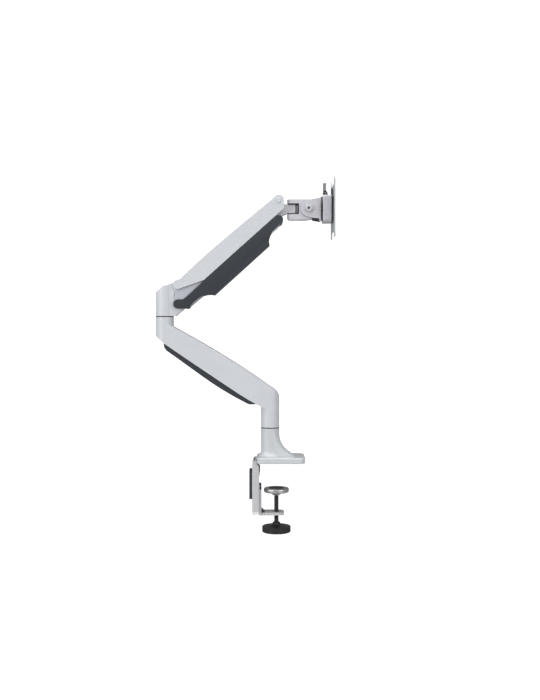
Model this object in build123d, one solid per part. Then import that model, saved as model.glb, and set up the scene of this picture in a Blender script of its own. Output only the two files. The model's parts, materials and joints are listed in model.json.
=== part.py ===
from build123d import *
import math
import os

# A desk-clamp monitor arm with a gas spring, all sizes in millimetres.
# The origin is on the base swivel's axis at the underside of the foot pad.
# +X points from the desk's edge over the desk, +Z is up.

RUNNING = 0.05              # radial clearance of every turning fit
WASHER_GAP = 2.0            # the dark washers between turning columns

# ---- foot and swivel column ----
FOOT_BACK = -26.5
FOOT_FRONT = 69.0
FOOT_HALF_WIDTH = 40.0
FOOT_TOP = 12.5
FOOT_CORNER = 12.0
FOOT_CLEAR = 0.8            # the casting's edge stops short of the desk
PAD_TOP = 2.4
PAD_INSET = 5.0
COLUMN_R = 18.2
COLUMN_TOP = 67.8
FLARE_HALF_WIDTH = 17.2
FLARE_TOP = 56.0
FLARE_REACH = 52.0
SHAFT_R = 10.0
SHAFT_BOTTOM = 6.0
SHAFT_TOP = 131.0
SHAFT_SCREW_R = 4.0
SHAFT_HEAD_R = 7.5
SHAFT_HEAD_TOP = 4.6
BUSH_WALL = 3.0

# ---- desk clamp ----
STEEL = 3.0
UPRIGHT_BACK = -35.7
UPRIGHT_FRONT = -22.3
UPRIGHT_HALF_WIDTH = 25.0
UPRIGHT_BOTTOM = -95.6
UPRIGHT_TOP = 5.5
WEB_TOP = 8.2               # the web stands higher than the flanges, behind the foot
UPRIGHT_SCREW_Y = (-15.0, 15.0)
UPRIGHT_SCREW_Z = 5.0
UPRIGHT_SCREW_BITE = 10.0
UPRIGHT_SCREW_R = 2.0
UPRIGHT_HEAD_R = 3.2
EMBOSSING = 1.5             # a pressed pad that backs the bumper
CAP_BOTTOM = -102.0
BUMPER_FACE = -20.2
CLIP_BACK = -41.5
CLIP_HALF_WIDTH = 20.0
CLIP_TOP = -15.6
CLIP_BOTTOM = -71.4
CLIP_WALL = 1.8
BRACKET_STEEL = 5.0
BRACKET_BOTTOM = -104.0
BRACKET_TOP = -52.6
BRACKET_WALL_HALF_WIDTH = 20.0
BRACKET_HALF_WIDTH = 19.0
BRACKET_END = 27.6
TONGUE_STEEL = 1.8          # the wall's thin top, under the screw heads
TONGUE_HALF_WIDTH = 16.0
TONGUE_TOP = -43.3
BRACKET_SCREW_Y = (-9.0, 9.0)
BRACKET_SCREW_Z = -47.8
BRACKET_SCREW_R = 3.0
BRACKET_HEAD_FLATS = 7.6
BRACKET_HEAD = 3.0
BRACKET_SEATS = (-28.5, BRACKET_SCREW_Z, -68.5)
SPINDLE_X = 12.5
SPINDLE_R = 4.5
INSERT_R = 8.0
CLAMP_DISC_TOP = -52.0
CLAMP_PAD_R = 15.0
CLAMP_PAD_BOTTOM = -54.0
NECK_R = 3.5
NECK_BOTTOM = -66.2
RIVET_R = 6.0
RIVET_TOP = -56.0
RIVET_BOTTOM = -58.2
KNOB_R = 28.5
KNOB_TOP = -128.0
KNOB_BOTTOM = -140.0
KNOB_HUB_TOP = -120.0
KNOB_SEAT = 3.0
KNOB_FLUTES = 10
FLUTE_R = 7.0
FLUTE_DEPTH = 1.3

# ---- lower arm ----
ELBOW_X = -210.5
ELBOW_TOP = 289.4
ELBOW_SHAFT_R = 9.0
ELBOW_SHAFT_BOTTOM = 250.0
ARM_HALF_WIDTH = 18.0
LOWER_ARM_BOTTOM = COLUMN_TOP + WASHER_GAP
CHANNEL_HALF_WIDTH = 12.5
COVER_HALF_WIDTH = 15.5
SKIN = 2.0

# ---- yoke ----
YOKE_BOTTOM = ELBOW_TOP + WASHER_GAP
YOKE_SLOT_BACK = -200.5
YOKE_SPINDLE_TOP = 332.0
CHEEK_HALF_WIDTH = 14.6
CHEEK_WALL = 3.0
EYE_R = 8.6

# ---- parallelogram ----
LINK_LENGTH = 260.0
LIFT_ANGLE = 40.0
UPPER_PIVOT = (-183.0, 354.0)
PIVOT_SPACING = 38.8
PIN_R = 4.0
PIN_SHY = 0.3               # a pin's ends stay this far inside the wall
BLIND_SEAT = 0.8            # wall left outside the seat of a pin that is let in from the far side
CASING_HALF_WIDTH = 22.0
CASING_WALL = 2.5
ROOF_DROP = 3.4
CASING_WEB_BACK = -171.0
LINK_HALF_WIDTH = 17.6
LINK_WALL = 2.4
LINK_DEPTH = 10.5
KEEL_DEPTH = 19.6
COVER_GAP = 0.5
FRONT_EYE_R = 6.8
PIVOT_CAP_R = 5.6
PIVOT_CAP = 1.2

# ---- gas spring ----
SPRING_FOOT = (-187.0, 333.5)
SPRING_HEAD_ALONG = 218.0
SPRING_HEAD_DROP = 7.5
SPRING_R = 10.0
SPRING_BORE_R = 8.3
ROD_R = 4.0
EYE_HALF_WIDTH = 5.0
EYE_SLACK = 3.0
TUBE_FROM = 66.0
HEAD_EYE_R = 8.5

# ---- head ----
SWIVEL_X = 45.5
BOSS_R = 8.0
BOSS_BOTTOM = 496.0
BOSS_TOP = 513.5
FORK_BOTTOM = 483.0
FORK_TOP = 523.5
FORK_BACK = 34.0
FORK_FRONT = 84.0
FORK_SLOT_TOP = 515.5
FORK_SLOT_BOTTOM = 493.9
FORK_SLOT_END = 57.4
SWIVEL_WASHER_R = 11.0
LINER_GAP = 0.7
LINER_HALF_WIDTH = 10.5
SWIVEL_PIN_R = 5.0
HEAD_BUSH_WALL = 2.0
TILT = (76.5, 505.5)
LUG_HALF_WIDTH = 12.5
EAR_INNER = 13.0
EAR_OUTER = 16.0
EAR_R = 16.0
TILT_BOSS_R = 8.6
TILT_BOSS = 1.8
TILT_HEAD_FACE = EAR_OUTER + TILT_BOSS
TILT_HEAD_R = 6.6
TILT_HEAD = 4.2
TILT_SOCKET_FLATS = 5.6
TILT_NUT_FLATS = 12.6
TILT_NUT = 4.0
FRICTION_WASHER_R = 11.0
TILT_PLATE_BACK = 98.0
TILT_PLATE_FRONT = 101.0
DISC_FRONT = 104.5
DISC_R = 24.0
ROTATION_NUT_R = 8.2
ROTATION_NUT_BACK = 108.2
ROTATION_BOLT_END = 112.4
BLOCK_FRONT = 121.6
BLOCK_HALF_WIDTH = 25.0
BLOCK_BOTTOM = 477.8
BLOCK_TOP = 531.8
POCKET_BACK = 115.0
LIP_BACK = 118.6
POCKET_HALF_WIDTH = 16.0
THROAT_HALF_WIDTH = 11.5
POCKET_FLOOR = 486.0
RAIL_TOP = 530.0
SLIDE_GAP = 0.3
ADAPTER_BACK = BLOCK_FRONT + 0.2
ADAPTER_FRONT = 125.0
ADAPTER_BOTTOM = 479.0
ADAPTER_TOP = 530.8
ADAPTER_HALF_WIDTH = 30.0
ADAPTER_TAB_TOP = 546.0
ADAPTER_TAB_HALF_WIDTH = 8.0
PLATE_FRONT = 127.0
PLATE_SIDE = 117.0
PLATE_CORNER = 8.0
PLATE_NOTCH_HALF_WIDTH = 38.0
PLATE_NOTCH_DEPTH = 12.5
PLATE_SCREW_Y = (-21.0, 21.0)
PLATE_SCREW_Z = (488.0, 522.0)
PLATE_SCREW_R = 2.0
PLATE_CONE_R = 3.8
PLATE_CONE = 1.8
VESA_HOLE_R = 2.6
VESA_PATTERNS = (100.0, 75.0)

# ---- release lever ----
LEVER_PIVOT = (110.2, 536.3)
LEVER_PIN_R = 1.5
HOUSING_TOP = 540.0
HOUSING_HALF_WIDTH = 9.0
HOUSING_SLOT_HALF_WIDTH = 5.2
LEVER_HALF_WIDTH = 3.0
TAB_HALF_WIDTH = 8.5

FAR = 600.0                 # well outside any piece, for cuts that run right through
LOW = (Align.CENTER, Align.CENTER, Align.MIN)


# ---------------------------------------------------------------- helpers
def block(x_from, x_to, y_from, y_to, z_from, z_to):
    size = Box(x_to - x_from, y_to - y_from, z_to - z_from, align=Align.MIN)
    return Pos(x_from, y_from, z_from) * size


def bar_z(x, radius, z_from, z_to, y=0):
    return Pos(x, y, z_from) * Cylinder(radius, z_to - z_from, align=LOW)


def bar_y(centre, radius, y_from, y_to):
    turned = Rot(-90, 0, 0) * Cylinder(radius, y_to - y_from, align=LOW)
    return Pos(centre[0], y_from, centre[1]) * turned


def bar_x(y, z, radius, x_from, x_to):
    turned = Rot(0, 90, 0) * Cylinder(radius, x_to - x_from, align=LOW)
    return Pos(x_from, y, z) * turned


def slab(edges, y_from, y_to):
    """A closed outline drawn in X and Z, as thick as the span in Y."""
    face = make_face(edges)
    return extrude(Plane.XZ.offset(-y_to) * face, amount=y_to - y_from, dir=(0, -1, 0))


def loop(points):
    return Polyline(*points, close=True).edges()


def round_loop(points, radius):
    return FilletPolyline(*points, radius=radius, close=True).edges()


def both_sides(edges, y_inner, y_outer):
    near = slab(edges, -y_outer, -y_inner)
    return near + slab(edges, y_inner, y_outer)


def ring_z(x, outer, inner, z_from, z_to):
    return bar_z(x, outer, z_from, z_to) - bar_z(x, inner, z_from, z_to)


def along_link(pivot, along, above, angle=LIFT_ANGLE):
    """A point beside a pivot, measured along and square to the upper arm."""
    c = math.cos(math.radians(angle))
    s = math.sin(math.radians(angle))
    return (pivot[0] + along * c - above * s, pivot[1] + along * s + above * c)


PIVOT_A = UPPER_PIVOT
PIVOT_B = (UPPER_PIVOT[0], UPPER_PIVOT[1] - PIVOT_SPACING)
PIVOT_C = along_link(PIVOT_A, LINK_LENGTH, 0)
PIVOT_D = along_link(PIVOT_B, LINK_LENGTH, 0)
SPRING_HEAD = along_link(PIVOT_A, SPRING_HEAD_ALONG, -SPRING_HEAD_DROP)
SPRING_LENGTH = math.dist(SPRING_FOOT, SPRING_HEAD)
SPRING_RISE = SPRING_HEAD[1] - SPRING_FOOT[1]
SPRING_RUN = SPRING_HEAD[0] - SPRING_FOOT[0]
SPRING_ANGLE = math.degrees(math.atan2(SPRING_RISE, SPRING_RUN))


# ---------------------------------------------------------------- foot
def base_foot():
    width = FOOT_FRONT - FOOT_BACK
    middle = (FOOT_FRONT + FOOT_BACK) / 2
    plan = Pos(middle, 0, FOOT_CLEAR) * RectangleRounded(width, 2 * FOOT_HALF_WIDTH, FOOT_CORNER)
    plate = extrude(plan, amount=FOOT_TOP - FOOT_CLEAR)
    plate = fillet(plate.edges().group_by(Axis.Z)[-1], 3.0)
    plate = chamfer(plate.edges().group_by(Axis.Z)[0], 0.8)
    column = bar_z(0, COLUMN_R, FOOT_CLEAR, COLUMN_TOP)
    foot = plate + column + foot_flare() + foot_collar()
    pocket_plan = Pos(middle, 0, 0) * pad_outline()
    foot -= extrude(pocket_plan, amount=PAD_TOP)
    foot -= bar_z(0, SHAFT_R, SHAFT_BOTTOM, COLUMN_TOP)
    foot -= bar_z(0, SHAFT_SCREW_R, 0, SHAFT_BOTTOM)
    foot -= bar_z(0, SHAFT_HEAD_R, 0, SHAFT_HEAD_TOP)
    for y in UPRIGHT_SCREW_Y:
        foot -= bar_x(y, UPRIGHT_SCREW_Z, UPRIGHT_SCREW_R, FOOT_BACK, FOOT_BACK + UPRIGHT_SCREW_BITE)
    return foot


def foot_flare():
    """The trumpet that runs from the column forward over the plate."""
    curve = Spline((COLUMN_R, FLARE_TOP), (20.6, 43.5), (28, 29.6), (38, 20.5), (FLARE_REACH, FOOT_TOP))
    under = Polyline((FLARE_REACH, FOOT_TOP), (FLARE_REACH, 6), (1, 6), (1, FLARE_TOP), (COLUMN_R, FLARE_TOP))
    trumpet = revolve(Plane.XZ * make_face((curve + under).edges()), Axis.Z, 360)
    return trumpet & block(0, FLARE_REACH + 8, -FLARE_HALF_WIDTH, FLARE_HALF_WIDTH, 6, FLARE_TOP + 4)


def foot_collar():
    """The small radius where the column meets the plate."""
    root = Spline((COLUMN_R, 24), (19.6, 17.5), (24.5, FOOT_TOP))
    under = Polyline((24.5, FOOT_TOP), (24.5, 8), (1, 8), (1, 24), (COLUMN_R, 24))
    return revolve(Plane.XZ * make_face((root + under).edges()), Axis.Z, 360)


def pad_outline():
    width = FOOT_FRONT - FOOT_BACK - 2 * PAD_INSET
    return RectangleRounded(width, 2 * (FOOT_HALF_WIDTH - PAD_INSET), FOOT_CORNER / 2)


def foot_pad():
    return extrude(Pos((FOOT_FRONT + FOOT_BACK) / 2, 0, 0) * pad_outline(), amount=PAD_TOP)


def swivel_shaft():
    shaft = bar_z(0, SHAFT_R, SHAFT_BOTTOM, SHAFT_TOP)
    shaft = chamfer(shaft.edges().group_by(Axis.Z)[-1], 1.0)
    return shaft - bar_z(0, SHAFT_SCREW_R, SHAFT_BOTTOM, SHAFT_BOTTOM + 18)


def shaft_screw():
    head = bar_z(0, SHAFT_HEAD_R - 0.3, PAD_TOP, SHAFT_HEAD_TOP)
    screw = head + bar_z(0, SHAFT_SCREW_R, SHAFT_HEAD_TOP, SHAFT_BOTTOM + 17)
    return screw - bar_z(0, 2.6, PAD_TOP, PAD_TOP + 1.6)


def base_washer():
    return ring_z(0, COLUMN_R - 0.3, SHAFT_R + 0.2, COLUMN_TOP, LOWER_ARM_BOTTOM)


# ---------------------------------------------------------------- desk clamp
def clamp_upright():
    """A folded steel channel, open at the back, its web against the foot and the desk's edge."""
    back = UPRIGHT_BACK
    front = UPRIGHT_FRONT
    outline = [(back, UPRIGHT_BOTTOM), (back, -1), (-34.2, 3.6), (-31.4, UPRIGHT_TOP),
               (-28.4, UPRIGHT_TOP), (FOOT_BACK, 4), (FOOT_BACK, -1.5), (front, -5), (front, UPRIGHT_BOTTOM)]
    channel = slab(loop(outline), -UPRIGHT_HALF_WIDTH, UPRIGHT_HALF_WIDTH)
    web = front - STEEL
    step = FOOT_BACK - STEEL
    hollow = [(back - 1, UPRIGHT_BOTTOM - 1), (back - 1, UPRIGHT_TOP + 1), (step, UPRIGHT_TOP + 1),
              (step, -3.2), (web, -6.7), (web, UPRIGHT_BOTTOM - 1)]
    inner = UPRIGHT_HALF_WIDTH - STEEL
    channel -= slab(loop(hollow), -inner, inner)
    channel += block(step, FOOT_BACK, -inner, inner, 0, WEB_TOP)
    pad = block(front - 1, front + EMBOSSING, -12, 12, -26.5, -18.4)
    channel += fillet(pad.edges().filter_by(Axis.Y).group_by(Axis.X)[-1], 1.2)
    for y in UPRIGHT_SCREW_Y:
        channel -= bar_x(y, UPRIGHT_SCREW_Z, UPRIGHT_SCREW_R, step - 1, FOOT_BACK + 1)
    for z in BRACKET_SEATS:
        for y in BRACKET_SCREW_Y:
            channel -= bar_x(y, z, BRACKET_SCREW_R, web - 1, front + EMBOSSING + 1)
    return channel


def upright_end_cap():
    cap = block(UPRIGHT_BACK, UPRIGHT_FRONT, -UPRIGHT_HALF_WIDTH, UPRIGHT_HALF_WIDTH,
                CAP_BOTTOM, UPRIGHT_BOTTOM)
    return fillet(cap.edges().filter_by(Axis.Y).group_by(Axis.Z)[0], 2.0)


def upright_screws():
    seat = FOOT_BACK - STEEL
    group = Part()
    for y in UPRIGHT_SCREW_Y:
        head = bar_x(y, UPRIGHT_SCREW_Z, UPRIGHT_HEAD_R, seat - 2.6, seat)
        socket = bar_x(y, UPRIGHT_SCREW_Z, 1.4, seat - 2.6, seat - 1.0)
        shank = bar_x(y, UPRIGHT_SCREW_Z, UPRIGHT_SCREW_R, seat, FOOT_BACK + UPRIGHT_SCREW_BITE - 1)
        group += head + shank - socket
    return group


def edge_bumper():
    strip = block(UPRIGHT_FRONT, BUMPER_FACE, -20, 20, -17.6, -8.6)
    return fillet(strip.edges().filter_by(Axis.Y).group_by(Axis.X)[-1], 0.9)


def rear_cable_clip():
    half = CLIP_HALF_WIDTH
    outer = block(CLIP_BACK, UPRIGHT_BACK, -half, half, CLIP_BOTTOM, CLIP_TOP)
    outer = fillet(outer.edges().filter_by(Axis.Z).group_by(Axis.X)[0], 2.2)
    half -= CLIP_WALL
    return outer - block(CLIP_BACK + CLIP_WALL, UPRIGHT_BACK + 1, -half, half, CLIP_BOTTOM - 1, CLIP_TOP + 1)


def lower_bracket():
    """The L that carries the clamp screw, hung on the web by a thin tongue."""
    wall_front = UPRIGHT_FRONT + BRACKET_STEEL
    foot_top = BRACKET_BOTTOM + BRACKET_STEEL
    half = BRACKET_WALL_HALF_WIDTH
    wall = block(UPRIGHT_FRONT, wall_front, -half, half, BRACKET_BOTTOM, BRACKET_TOP)
    run = block(UPRIGHT_FRONT, BRACKET_END, -BRACKET_HALF_WIDTH, BRACKET_HALF_WIDTH,
                BRACKET_BOTTOM, foot_top)
    run = fillet(run.edges().filter_by(Axis.Z).group_by(Axis.X)[-1], 10.0)
    bracket = wall + run
    corner = bracket.edges().filter_by(Axis.Y).group_by(Axis.Z)[0].group_by(Axis.X)[0]
    bracket = fillet(corner, 3.0)
    tongue = block(UPRIGHT_FRONT, UPRIGHT_FRONT + TONGUE_STEEL, -TONGUE_HALF_WIDTH, TONGUE_HALF_WIDTH,
                   BRACKET_TOP - 1, TONGUE_TOP)
    bracket += fillet(tongue.edges().filter_by(Axis.X).group_by(Axis.Z)[-1], 4.0)
    bracket -= bar_z(SPINDLE_X, INSERT_R, BRACKET_BOTTOM - 1, foot_top + 1)
    for y in BRACKET_SCREW_Y:
        bracket -= bar_x(y, BRACKET_SCREW_Z, BRACKET_SCREW_R, UPRIGHT_FRONT - 1, wall_front + 1)
    return bracket


def bracket_gusset():
    corner_x = UPRIGHT_FRONT + BRACKET_STEEL
    corner_z = BRACKET_BOTTOM + BRACKET_STEEL
    outline = [(corner_x, corner_z), (corner_x + 6.5, corner_z), (corner_x, corner_z + 6)]
    return slab(loop(outline), -12, 12)


def bracket_screws():
    head_from = UPRIGHT_FRONT + TONGUE_STEEL
    group = Part()
    for y in BRACKET_SCREW_Y:
        head = hexagon_x(y, BRACKET_SCREW_Z, BRACKET_HEAD_FLATS, head_from, head_from + BRACKET_HEAD)
        shank = bar_x(y, BRACKET_SCREW_Z, BRACKET_SCREW_R, UPRIGHT_FRONT - STEEL - 4.5, head_from)
        group += head + shank
    return group


def threaded_insert():
    return ring_z(SPINDLE_X, INSERT_R, SPINDLE_R + RUNNING, BRACKET_BOTTOM, BRACKET_BOTTOM + BRACKET_STEEL)


def revolved(points, x):
    return Pos(x, 0, 0) * revolve(Plane.XZ * make_face(loop(points)), Axis.Z, 360)


def pressure_disc():
    bore = NECK_R + RUNNING
    seat = CLAMP_PAD_R + 0.2
    outline = [(bore, -66), (8, -66), (9, -64), (13, -62.5), (23.6, -60.5), (25, -59), (25, -53.4),
               (23.8, CLAMP_DISC_TOP), (seat, CLAMP_DISC_TOP), (seat, CLAMP_PAD_BOTTOM),
               (RIVET_R + 0.3, CLAMP_PAD_BOTTOM), (RIVET_R + 0.3, -58.4), (bore, -58.4)]
    return revolved(outline, SPINDLE_X)


def pressure_pad():
    return bar_z(SPINDLE_X, CLAMP_PAD_R, CLAMP_PAD_BOTTOM, CLAMP_DISC_TOP + 0.3)


def clamp_spindle():
    core = bar_z(SPINDLE_X, SPINDLE_R, KNOB_BOTTOM + KNOB_SEAT, NECK_BOTTOM)
    neck = bar_z(SPINDLE_X, NECK_R, NECK_BOTTOM, RIVET_BOTTOM)
    return core + neck + bar_z(SPINDLE_X, RIVET_R, RIVET_BOTTOM, RIVET_TOP)


def clamp_knob():
    outline = [(SPINDLE_R, KNOB_HUB_TOP), (6.6, KNOB_HUB_TOP), (9.5, -125), (15, -126.4),
               (27.4, KNOB_TOP), (KNOB_R, -128.8), (KNOB_R, -138.8), (27, KNOB_BOTTOM),
               (0, KNOB_BOTTOM), (0, KNOB_BOTTOM + KNOB_SEAT), (SPINDLE_R, KNOB_BOTTOM + KNOB_SEAT)]
    knob = revolved(outline, SPINDLE_X)
    for step in range(KNOB_FLUTES):
        turn = math.radians(360 / KNOB_FLUTES * (step + 0.5))
        reach = KNOB_R + FLUTE_R - FLUTE_DEPTH
        x = SPINDLE_X + reach * math.cos(turn)
        knob -= bar_z(x, FLUTE_R, KNOB_BOTTOM - 1, KNOB_TOP + 1, y=reach * math.sin(turn))
    return knob


# ---------------------------------------------------------------- lower arm
def lower_arm_bottom_edge():
    return [(-212, 238.0), (-170, 209), (-101.6, 163), (-38.6, 122.5), (-17.8, 111.2)]


def lower_arm_body():
    top = Spline((-192.5, 270), (-110.6, 223.6), (-40, 179), (-8, 157))
    nose = Spline((-8, 157), (9.2, 145), (16.2, 137.5), (COLUMN_R, 128))
    front = Polyline((COLUMN_R, 128), (COLUMN_R, 92), (0, 92))
    fairing = Spline((0, 92), (-7, 104), (-17.8, 111.2))
    belly = Spline(*reversed(lower_arm_bottom_edge()))
    back = Polyline((-212, 238), (-228.5, 252), (-228.5, 284), (-210.5, 284))
    elbow_fairing = Spline((-210.5, 284), (-203, 275.8), (-192.5, 270))
    outline = (top + nose + front + fairing + belly + back + elbow_fairing).edges()
    body = slab(outline, -ARM_HALF_WIDTH, ARM_HALF_WIDTH)
    plan = Pos(ELBOW_X / 2, 0, 0) * SlotCenterToCenter(-ELBOW_X, 2 * ARM_HALF_WIDTH)
    return body & extrude(Pos(0, 0, 60) * plan, amount=260)


def lower_arm_casting():
    base_column = bar_z(0, COLUMN_R, LOWER_ARM_BOTTOM, 130)
    elbow_column = bar_z(ELBOW_X, ARM_HALF_WIDTH, 255, ELBOW_TOP)
    casting = lower_arm_body() + base_column + elbow_column
    casting -= lower_arm_channel()
    casting -= bar_z(0, SHAFT_R + BUSH_WALL, LOWER_ARM_BOTTOM, SHAFT_TOP + 1)
    return casting - bar_z(ELBOW_X, ELBOW_SHAFT_R + BUSH_WALL, ELBOW_SHAFT_BOTTOM - 1, ELBOW_TOP)


def lower_arm_channel():
    """The cable channel, open along the arm's underside between the columns."""
    roof = Spline((-184, 257), (-110.6, 216), (-36, 168))
    rest = Polyline((-36, 168), (-36, 100), (-184, 200), (-184, 257))
    return slab((roof + rest).edges(), -CHANNEL_HALF_WIDTH, CHANNEL_HALF_WIDTH)


def lower_arm_cable_cover():
    seam = Polyline((-38.6, 128), (-101.6, 169), (-170, 215), (-206, 243), (-211.5, 236))
    back = Polyline((-211.5, 236), (-210.5, 229), (-206, 222.6))
    belly = Spline((-206, 222.6), (-170, 197), (-110.6, 155), (-60, 125), (-45, 117.2))
    toe = Polyline((-45, 117.2), (-41.5, 115.8), (-29.8, 115.8), (-28.7, 117.3), (-38.6, 128))
    cover = slab((seam + back + belly + toe).edges(), -COVER_HALF_WIDTH, COVER_HALF_WIDTH)
    cover -= lower_arm_body()
    roof = Polyline((-205, 245), (-150, 212), (-101.6, 180), (-48, 145))
    floor = Spline((-48, 121.6), (-60, 127.6), (-110.6, 157.6), (-170, 199.4), (-199, 220.5))
    ends = Line((-48, 145), (-48, 121.6)) + Polyline((-199, 220.5), (-205, 229), (-205, 245))
    inner = COVER_HALF_WIDTH - SKIN
    return cover - slab((roof + floor + ends).edges(), -inner, inner)


def column_bushes():
    outer = SHAFT_R + BUSH_WALL
    lower = ring_z(0, outer, SHAFT_R + RUNNING, LOWER_ARM_BOTTOM + 0.5, LOWER_ARM_BOTTOM + 15)
    return lower + ring_z(0, outer, SHAFT_R + RUNNING, SHAFT_TOP - 16, SHAFT_TOP - 2)


def elbow_bushes():
    outer = ELBOW_SHAFT_R + BUSH_WALL
    inner = ELBOW_SHAFT_R + RUNNING
    lower = ring_z(ELBOW_X, outer, inner, ELBOW_SHAFT_BOTTOM + 1, ELBOW_SHAFT_BOTTOM + 12)
    return lower + ring_z(ELBOW_X, outer, inner, ELBOW_TOP - 14, ELBOW_TOP - 0.5)


def elbow_washer():
    return ring_z(ELBOW_X, ARM_HALF_WIDTH - 0.3, ELBOW_SHAFT_R + 0.2, ELBOW_TOP, ELBOW_TOP + WASHER_GAP)


# ---------------------------------------------------------------- yoke


def yoke_casting():
    outline = [(-228.5, YOKE_BOTTOM), (-228.5, 338), (-213, 351), (-203, 353.8), (-193, 357.5),
               (-176, 358), (-174.6, 345), (-172, 322), (-172, 305), (-188, YOKE_BOTTOM)]
    silhouette = slab(loop(outline), -ARM_HALF_WIDTH, ARM_HALF_WIDTH)
    column = bar_z(ELBOW_X, ARM_HALF_WIDTH, YOKE_BOTTOM, 360)
    neck = block(ELBOW_X, -165, -CHEEK_HALF_WIDTH, CHEEK_HALF_WIDTH, YOKE_BOTTOM, 360)
    yoke = silhouette & (column + neck)
    yoke += bar_y(PIVOT_A, EYE_R, -CHEEK_HALF_WIDTH, CHEEK_HALF_WIDTH)
    inner = CHEEK_HALF_WIDTH - CHEEK_WALL
    yoke -= block(YOKE_SLOT_BACK, -160, -inner, inner, YOKE_BOTTOM - 1, 370)
    yoke -= bar_z(ELBOW_X, ELBOW_SHAFT_R, YOKE_BOTTOM - 1, YOKE_SPINDLE_TOP)
    for pivot in (PIVOT_A, PIVOT_B, SPRING_FOOT):
        yoke -= bar_y(pivot, PIN_R, -20, 20)
    return yoke


def yoke_spindle():
    spindle = bar_z(ELBOW_X, ELBOW_SHAFT_R, ELBOW_SHAFT_BOTTOM, YOKE_SPINDLE_TOP)
    return chamfer(spindle.edges().group_by(Axis.Z)[0], 1.0)


def pin_between(pivot, y_from, y_to):
    pin = bar_y(pivot, PIN_R, y_from, y_to)
    return chamfer(pin.edges().filter_by(GeomType.CIRCLE), 0.4)


def blind_pin(pivot):
    """A pin let in from the far side: its near end stops under the casing's skin."""
    near = PIN_SHY + BLIND_SEAT - CASING_HALF_WIDTH
    return pin_between(pivot, near, CASING_HALF_WIDTH - PIN_SHY)


def rear_upper_pin():
    return blind_pin(PIVOT_A)


def rear_lower_pin():
    return pin_between(PIVOT_B, 0.2 - LINK_HALF_WIDTH, LINK_HALF_WIDTH - 0.2)


def spring_foot_pin():
    return pin_between(SPRING_FOOT, 0.2 - CHEEK_HALF_WIDTH, CHEEK_HALF_WIDTH - 0.2)


# ---------------------------------------------------------------- upper arm
def casing_top():
    return [(-178.4, 365), (-110, 427.8), (-39.9, 486.6), (9, 527.3)]


def casing_outline():
    crown = Spline(*casing_top())
    nose = Spline((9, 527.3), (17.5, 531.6), (24.6, 528.4), (27.4, 520.5))
    front = Polyline((27.4, 520.5), (27.4, 505.4))
    seam = Line((27.4, 505.4), (-130.9, 363))
    tail = Polyline((-130.9, 363), (-181.8, 344.9))
    lobe = ThreePointArc((-181.8, 344.9), (-192.1, 353.2), (-185.5, 362.8))
    rise = Spline((-185.5, 362.8), (-182, 363.4), (-178.4, 365))
    return (crown + nose + front + seam + tail + lobe + rise).edges()


def upper_casing():
    """An inverted channel over the spring and the links, with a web across its tail."""
    shell = slab(casing_outline(), -CASING_HALF_WIDTH, CASING_HALF_WIDTH)
    inner = CASING_HALF_WIDTH - CASING_WALL
    roof = Spline(*[(x, z - ROOF_DROP) for x, z in casing_top()])
    start = (casing_top()[0][0], casing_top()[0][1] - ROOF_DROP)
    end = (casing_top()[-1][0], casing_top()[-1][1] - ROOF_DROP)
    rest = Polyline(end, (45, end[1]), (45, 440), (-150, 330), (-215, 330), (-215, start[1]), start)
    shell -= slab((roof + rest).edges(), -inner, inner)
    shell -= block(-215, CASING_WEB_BACK, -inner, inner, 330, 385)
    shell -= bar_y(PIVOT_C, FRONT_EYE_R + 0.6, -inner, inner)
    shell -= block(PIVOT_C[0], 45, -inner, inner, 500, 545)
    near = BLIND_SEAT - CASING_HALF_WIDTH
    shell -= bar_y(PIVOT_A, PIN_R + RUNNING, near, FAR)
    shell -= bar_y(SPRING_HEAD, PIN_R, near, FAR)
    return shell - bar_y(PIVOT_C, PIN_R + RUNNING, -FAR, FAR)


def beside_link(points):
    return [along_link(PIVOT_B, along, above) for along, above in points]


def lower_link():
    inner = LINK_HALF_WIDTH - LINK_WALL
    side = [(0, -EYE_R), (12, -17.5), (18, -KEEL_DEPTH), (50, -KEEL_DEPTH), (60, -LINK_DEPTH),
            (248, -LINK_DEPTH), (260, -EYE_R), (LINK_LENGTH + EYE_R, 0), (LINK_LENGTH, EYE_R),
            (236, 14), (222, 21), (20, 22), (12.5, 23.5), (-5.4, 4.5), (-EYE_R, 0)]
    link = both_sides(loop(beside_link(side)), inner, LINK_HALF_WIDTH)
    link += both_sides(bar_outline(PIVOT_B, EYE_R), inner, LINK_HALF_WIDTH)
    link += both_sides(bar_outline(PIVOT_D, EYE_R), inner, LINK_HALF_WIDTH)
    floor = [(20, -KEEL_DEPTH), (50, -KEEL_DEPTH), (60, -LINK_DEPTH), (240, -LINK_DEPTH)]
    roof = [(along - 1, above + LINK_WALL) for along, above in floor]
    link += slab(loop(beside_link(floor + roof[::-1])), -LINK_HALF_WIDTH, LINK_HALF_WIDTH)
    link -= bar_y(PIVOT_B, PIN_R + RUNNING, -30, 30)
    return link - bar_y(PIVOT_D, PIN_R + RUNNING, -30, 30)


def bar_outline(centre, radius):
    return (Pos(centre[0], centre[1], 0) * Circle(radius)).edges()


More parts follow.
